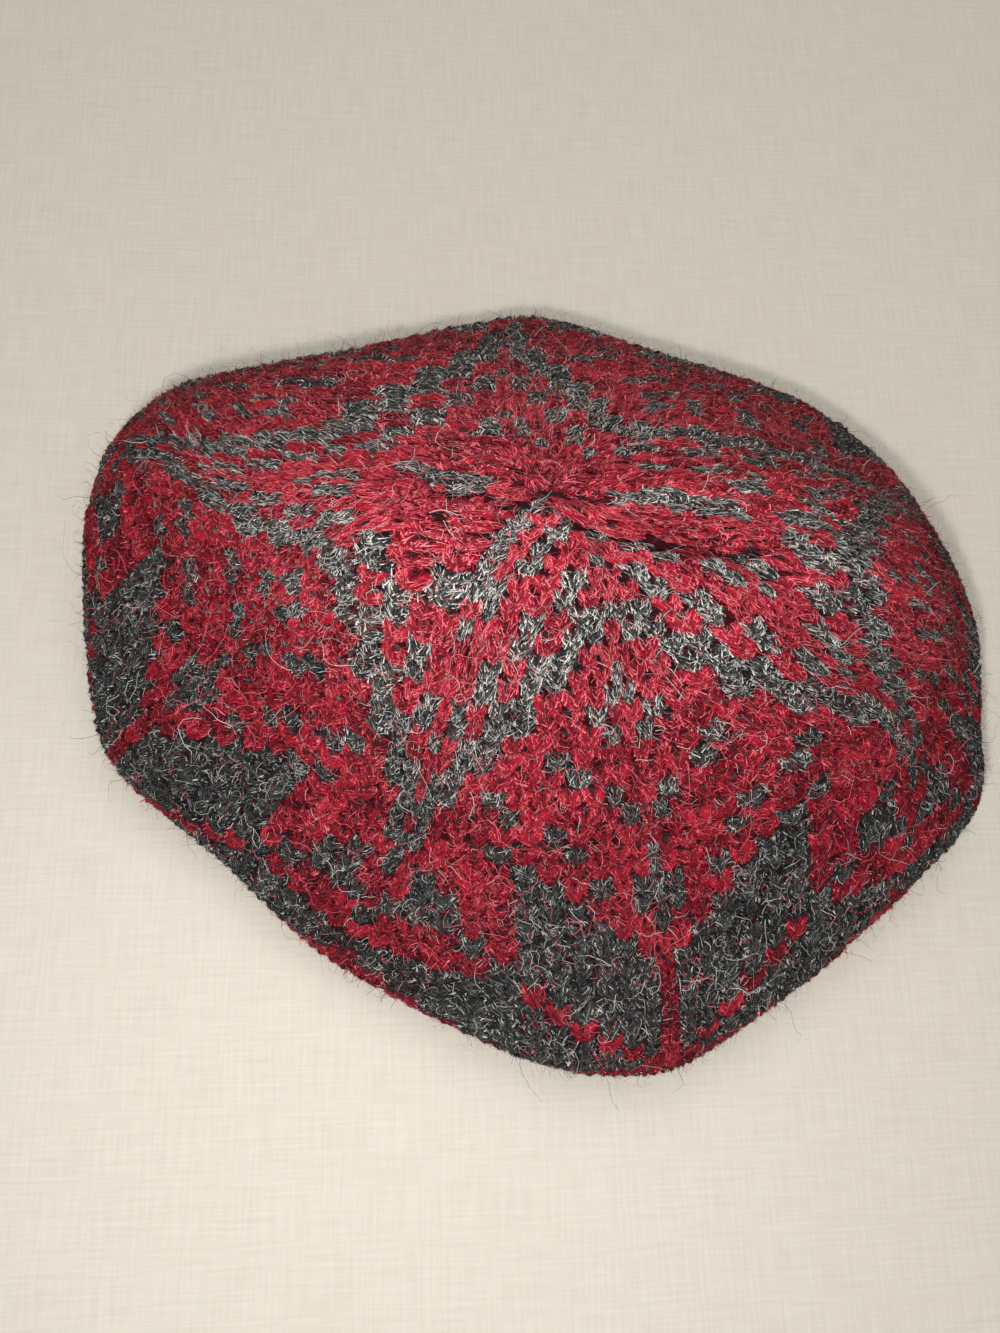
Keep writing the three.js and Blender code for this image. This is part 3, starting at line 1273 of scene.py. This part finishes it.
@dataclass(frozen=True)
class Knitting:
    """All the stitches of the hat, joined by region and yarn, with the nap of the wool on each."""

    fabric: Fabric
    chart: Chart
    wools: Materials
    fibres: Materials
    model: StitchModel = field(default_factory=StitchModel)
    painted_light_and_felting: PaintedLightAndFelting = field(default_factory=PaintedLightAndFelting)
    depth: float = 1.15
    # How much a stitch's place, slant and size differ from its neighbours'.
    wander: tuple[float, float] = (0.05, 0.035)
    lean: float = 0.08
    swell: tuple[float, float, float] = (0.10, 0.04, 0.10)
    # How the yarn's map runs: its turn round a leg, the second leg's shift, and its reach.
    leg_middle: float = 1.0
    twist: float = 0.35
    leg_shift: tuple[float, float] = (3, 5)
    map_reach: float = 60
    seed: int = 11

    def build(self) -> list[bpy.types.Object]:
        """Knit every region in both yarns.

        Returns:
            The new pieces.
        """
        stitches = Knitter(self.fabric, self.chart, self.model.gauge).work()
        LOG.info("stitches: %d", len(stitches))
        shape = self.model.build()
        nap = Nap(self.model, self.painted_light_and_felting)
        pieces = []
        for number, region in enumerate(Region):
            for colour in YarnColour:
                chosen = [s for s in stitches if s.region is region and s.colour is colour]
                if not chosen:
                    continue
                random = np.random.default_rng(self.seed + 10 * number + len(colour.value))
                laid = self._lay(chosen, random)
                name = f"{region.value}_{colour.value}"
                yarn = self._yarn(f"{name}_stitches", laid, shape, random)
                finish_piece(yarn, self.wools[colour])
                pieces.append(yarn)
                if region is not Region.BRIM:
                    fuzzy = nap.build(laid, random).piece(f"{name}_nap")
                    finish_piece(fuzzy, self.fibres[colour])
                    pieces.append(fuzzy)
        return pieces

    def _lay(self, stitches: list[Stitch], random: np.random.Generator) -> LaidStitches:
        """Find each stitch's frame on the fabric.

        Args:
            stitches: The places.
            random: Source of the small differences between stitches.

        Returns:
            The frames.
        """
        count = len(stitches)
        turn = np.array([s.turn for s in stitches])
        row = np.array([s.row for s in stitches])
        width = np.array([s.width for s in stitches])
        height = np.array([s.height for s in stitches])
        moved = random.normal(0, 1, (count, 2)) * self.wander
        frame = self.fabric.frame_at(turn + width * moved[:, 0], row + moved[:, 1])
        at, per_turn, brimward, normal = frame
        return LaidStitches(
            at=at - normal * self.depth,
            across=per_turn * width[:, None] / self.model.gauge,
            down=brimward * (height / self.model.row_height)[:, None],
            normal=normal,
            size=1 + random.normal(0, 1, (count, 3)) * self.swell,
            lean=random.normal(0, self.lean, count),
            shade=random.random(count),
            row=row,
        )

    def _yarn(
        self, name: str, laid: LaidStitches, shape: StitchShape, random: np.random.Generator
    ) -> bpy.types.Object:
        """Copy the modelled stitch into each frame.

        Args:
            name: The piece's name.
            laid: The frames.
            shape: The modelled stitch.
            random: Source of each copy's place on the yarn.

        Returns:
            The joined piece.
        """
        vertices, along = shape.vertices, shape.along
        count, size = len(laid.at), len(vertices)
        placed = laid.place(np.broadcast_to(vertices, (count, size, 3)))
        every = shape.triangles[None] + (np.arange(count) * size)[:, None, None]
        leg = (vertices[:, 0] > 0).astype(float)
        sideways = np.abs(vertices[:, 0]) - self.leg_middle
        angle = np.arctan2(vertices[:, 2], sideways) / (2 * math.pi)
        offsets = random.random((count, 2)) * self.map_reach
        around = (angle + self.twist * along + self.leg_shift[0] * leg)[None] + offsets[:, :1]
        length = (along + self.leg_shift[1] * leg)[None] + offsets[:, 1:]
        yarn_map = np.stack([around, length], -1).reshape(-1, 2)
        # The yarn's tint adds painted light on the crown and painted shade on the side.
        tint = np.repeat(laid.shade + self.painted_light_and_felting.tint(laid.row), size)
        yarn = WoolMesh(placed.reshape(-1, 3) * MM, every.reshape(-1, 3), tint)
        return yarn.piece(name, yarn_map)


@dataclass(frozen=True)
class Lining:
    """The closed body of the fabric behind the stitches: purl side within; without, a dark ground
    that is painted shade in the gaps between the stitches.
    """

    fabric: Fabric
    around: int = 120
    rows: int = 54
    depth: float = 1.05
    wall: float = 1.2
    merge: float = 0.02
    same_place: float = 1e-6
    stitches_round: float = 120

    def build(self) -> bpy.types.Object:
        """Shape a flat grid to the hat, close it and give it a wall.

        Returns:
            The lining.
        """
        deselect_all()
        bpy.ops.mesh.primitive_grid_add(
            x_subdivisions=self.around, y_subdivisions=self.rows, size=2, calc_uvs=True
        )
        piece = bpy.context.object
        piece.name = "lining"
        sheet = piece.data
        flat = np.array([vertex.co[:2] for vertex in sheet.vertices])
        turn, share = (flat[:, 0] + 1) / 2, (flat[:, 1] + 1) / 2
        edge = self.fabric.fold_row(turn) - self.fabric.under_rows - self.fabric.brim_rows
        row = self.fabric.top_row + (edge - self.fabric.top_row) * share
        at, _, _, normal = self.fabric.frame_at(turn, row)
        placed = at - normal * self.depth
        top = np.asarray(self.fabric.top_point) - [*self.fabric.middle, self.depth]
        placed[share < self.same_place] = top
        sheet.vertices.foreach_set("co", (placed * MM).astype(np.float32).ravel())
        sheet.uv_layers[0].name = "stitches"
        corners = np.zeros(len(sheet.loops), dtype=np.int32)
        sheet.loops.foreach_get("vertex_index", corners)
        pairs = np.stack([turn * self.stitches_round, row], -1)[corners]
        sheet.uv_layers[0].data.foreach_set("uv", pairs.astype(np.float32).ravel())
        sheet.update()
        make_active(piece)
        bpy.ops.object.mode_set(mode="EDIT")
        bpy.ops.mesh.select_all(action="SELECT")
        bpy.ops.mesh.remove_doubles(threshold=self.merge * MM)
        bpy.ops.mesh.normals_make_consistent(inside=False)
        bpy.ops.object.mode_set(mode="OBJECT")
        bpy.ops.object.shade_smooth()
        wall = piece.modifiers.new("wall", "SOLIDIFY")
        wall.thickness = self.wall * MM
        wall.offset = -1
        apply_modifiers(piece)
        finish_piece(piece, PurlSide().material())
        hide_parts(*(region.value for region in Region))
        return piece


@dataclass(frozen=True)
class LooseFibre:
    """One kind of loose fibre: its name, how many, the points along each, and its length."""

    name: str
    count: int
    points: int
    length: float


@dataclass(frozen=True)
class Fuzz:
    """The loose fibres that stand off the wool: thin, curly, in every direction."""

    fabric: Fabric
    chart: Chart
    fibres: Materials
    kinds: tuple[LooseFibre, ...] = (
        LooseFibre("close", 19000, 4, 2.6),
        LooseFibre("stray", 4500, 8, 6.5),
    )
    # The share of fibres of one yarn that lie among the other's stitches.
    strangers: float = 0.15
    width: float = 0.11
    tip_width: float = 0.5
    paler: float = 0.8
    root_depth: float = 0.35
    table_gap: float = 0.15
    # The rows that bear fibres end this far below the fold and this far from the crown's middle.
    below_fold: float = 3.2
    bare_top: float = 0.3
    # Roots are drawn at random and kept by area, up to the share of the hat that is most stretched.
    tries_each: int = 8
    most_stretched: float = 0.995
    # How a length varies, and how a fibre's heading and climb change from point to point.
    evenness: float = 4.0
    least_length: float = 0.8
    curl: float = 0.45
    turning: float = 0.55
    first_climb: tuple[float, float] = (0.15, 0.3)
    climbing: float = 0.25
    droop: float = 0.05
    climb_limits: tuple[float, float] = (-0.15, 1.2)
    seed: int = 5

    def build(self) -> list[bpy.types.Object]:
        """Scatter the fibres over the outer face.

        Returns:
            The pieces: short fibres close to the wool and long stray ones, in each yarn's colour.
        """
        random = np.random.default_rng(self.seed)
        pieces = []
        for kind in self.kinds:
            turn, row = self._roots(kind.count, random)
            yarns = [self.chart.colour_at(t, r) for t, r in zip(turn, row)]
            red = np.array([yarn is YarnColour.RED for yarn in yarns])
            red ^= random.random(len(red)) < self.strangers
            for colour, chosen in ((YarnColour.RED, red), (YarnColour.CHARCOAL, ~red)):
                strands = self._strands(turn[chosen], row[chosen], kind, random)
                piece = strands.piece(f"{kind.name}_{colour.value}_fibres")
                finish_piece(piece, self.fibres[colour])
                pieces.append(piece)
        return pieces

    def _roots(self, count: int, random: np.random.Generator) -> tuple[Points, Points]:
        """Choose root places, evenly by area.

        Args:
            count: How many.
            random: Source of places.

        Returns:
            Turns and rows.
        """
        tries = count * self.tries_each
        turn = random.random(tries)
        lowest = self.fabric.fold_row(turn) - self.below_fold
        reach = self.fabric.top_row - self.bare_top - lowest
        row = lowest + reach * random.random(tries)
        _, per_turn, brimward, _ = self.fabric.frame_at(turn, row)
        area = np.linalg.norm(np.cross(per_turn, brimward), axis=-1)
        area = area * (self.fabric.top_row - lowest)
        kept = random.random(tries) < area / np.quantile(area, self.most_stretched)
        return turn[kept][:count], row[kept][:count]

    def _strands(
        self, turn: Points, row: Points, kind: LooseFibre, random: np.random.Generator
    ) -> WoolMesh:
        """Grow curly strips from their roots.

        Args:
            turn: Root turns.
            row: Root rows.
            kind: The kind of fibre.
            random: Source of their shapes.

        Returns:
            The strips.
        """
        at, per_turn, brimward, normal = self.fabric.frame_at(turn, row)
        count, points = len(turn), kind.points
        side, down = unit(per_turn), unit(brimward)
        heading = random.random(count) * 2 * math.pi
        climb = np.abs(random.normal(0.0, self.first_climb[1], count)) + self.first_climb[0]
        length = random.gamma(self.evenness, kind.length / self.evenness, count)
        step = (length + self.least_length) / (points - 1)
        curl = random.normal(0, self.curl, count)
        path = [at - normal * self.root_depth]
        for i in range(1, points):
            heading = heading + curl + random.normal(0, self.turning, count)
            climb = climb + random.normal(0, self.climbing, count) - self.droop * i
            climb = np.clip(climb, *self.climb_limits)
            level = side * np.cos(heading)[:, None] + down * np.sin(heading)[:, None]
            path.append(path[-1] + unit(level + normal * climb[:, None]) * step[:, None])
        spine = np.stack(path, 1)
        spine[..., 2] = np.maximum(spine[..., 2], self.table_gap)
        # The small terms keep a length where two points of a pressed fibre coincide.
        tangent = unit(np.gradient(spine, axis=1) + 1e-9)
        flat = unit(np.cross(tangent, normal[:, None, :] + 1e-6))
        taper = np.linspace(1.0, self.tip_width, points)[None, :, None]
        half = flat * (self.width / 2) * taper
        edges = np.stack([spine - half, spine + half], 2).reshape(-1, 3)
        corners = []
        for i in range(points - 1):
            corners += [(2 * i, 2 * i + 1, 2 * i + 3), (2 * i, 2 * i + 3, 2 * i + 2)]
        triangles = np.array(corners)[None] + (np.arange(count) * 2 * points)[:, None, None]
        tint = np.repeat(random.random(count) ** self.paler, 2 * points)
        return WoolMesh(edges * MM, triangles.reshape(-1, 3), tint)


# ---------------------------------------------------------------- stage


@dataclass(frozen=True)
class Lamp:
    """A square lamp that faces the hat."""

    name: str
    at: tuple[float, float, float]
    side_metres: float
    watts: float

    def hang(self, target: Vector) -> None:
        """Hang the lamp.

        Args:
            target: The point that it faces, in millimetres.
        """
        light = bpy.data.lights.new(self.name, "AREA")
        light.size = self.side_metres
        light.energy = self.watts
        holder = bpy.data.objects.new(self.name, light)
        holder.location = Vector(self.at) * MM
        aim = target * MM - holder.location
        holder.rotation_euler = aim.to_track_quat("-Z", "Y").to_euler()
        bpy.context.scene.collection.objects.link(holder)


@dataclass(frozen=True)
class Stage:
    """The pale cloth, the lamps and the camera."""

    cloth_metres: float = 6.0
    lamps: tuple[Lamp, ...] = (
        Lamp("key", (-58, -126, 252), 0.02, 0.46),
        Lamp("overhead", (60, 420, 800), 0.6, 1.7),
    )
    lit_point: tuple[float, float, float] = (0, 0, 30)
    room_light: Colour = (1.0, 0.98, 0.95)
    room_strength: float = 0.46
    camera_at: tuple[float, float, float] = (-27.0, -71.1, 242.3)
    lens: float = 27.0
    # The part's upward axis in the camera's own: to its right, to its top, and back towards it.
    up_in_camera: tuple[float, float, float] = (0.0659732, 0.28540582, 0.95613339)
    # How far the camera is turned about that axis, in degrees.
    camera_turn: float = 1.66
    sensor: float = 36
    nearest_metres: float = 0.01

    def build(self) -> None:
        """Lay the cloth, hang the lamps and set the camera."""
        self._cloth()
        for lamp in self.lamps:
            lamp.hang(Vector(self.lit_point))
        self._surroundings()
        self._camera()
        bpy.context.scene.view_settings.view_transform = "Standard"

    def _cloth(self) -> None:
        """Lay the pale cloth at height zero."""
        deselect_all()
        bpy.ops.mesh.primitive_plane_add(size=self.cloth_metres)
        cloth = bpy.context.object
        cloth.name = "cloth"
        cloth.data.materials.append(PaleCloth().material())

    def _surroundings(self) -> None:
        """Fill the room with an even pale light."""
        room = bpy.data.worlds.new("room")
        room.use_nodes = True
        backdrop = room.node_tree.nodes["Background"]
        backdrop.inputs["Color"].default_value = (*self.room_light, 1)
        backdrop.inputs["Strength"].default_value = self.room_strength
        bpy.context.scene.world = room

    def _camera(self) -> None:
        """Set the camera above the front of the hat, looking down."""
        up = Vector(self.up_in_camera).normalized()
        level = (Vector((1, 0, 0)) - up * up.x).normalized()
        away = up.cross(level)
        turned = math.radians(self.camera_turn)
        right = level * math.cos(turned) + away * math.sin(turned)
        axes = Matrix((right, up.cross(right), up))
        camera = bpy.data.cameras.new("camera")
        camera.lens = self.lens
        camera.sensor_width = self.sensor
        camera.clip_start = self.nearest_metres
        holder = bpy.data.objects.new("camera", camera)
        holder.matrix_world = Matrix.Translation(Vector(self.camera_at) * MM) @ axes.to_4x4()
        bpy.context.scene.collection.objects.link(holder)
        bpy.context.scene.camera = holder


# ---------------------------------------------------------------- build


def main() -> None:
    """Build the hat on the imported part, then the stage, and report each piece."""
    logging.basicConfig(level=logging.INFO, format="%(name)s: %(message)s")
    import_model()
    fabric, chart = Fabric(), Chart()
    wools = {colour: wool.material() for colour, wool in WOOLS.items()}
    fibres = {colour: finish.material() for colour, finish in FIBRES.items()}
    Lining(fabric).build()
    Knitting(fabric, chart, wools, fibres).build()
    Fuzz(fabric, chart, fibres).build()
    Stage().build()


if __name__ == "__main__":
    main()
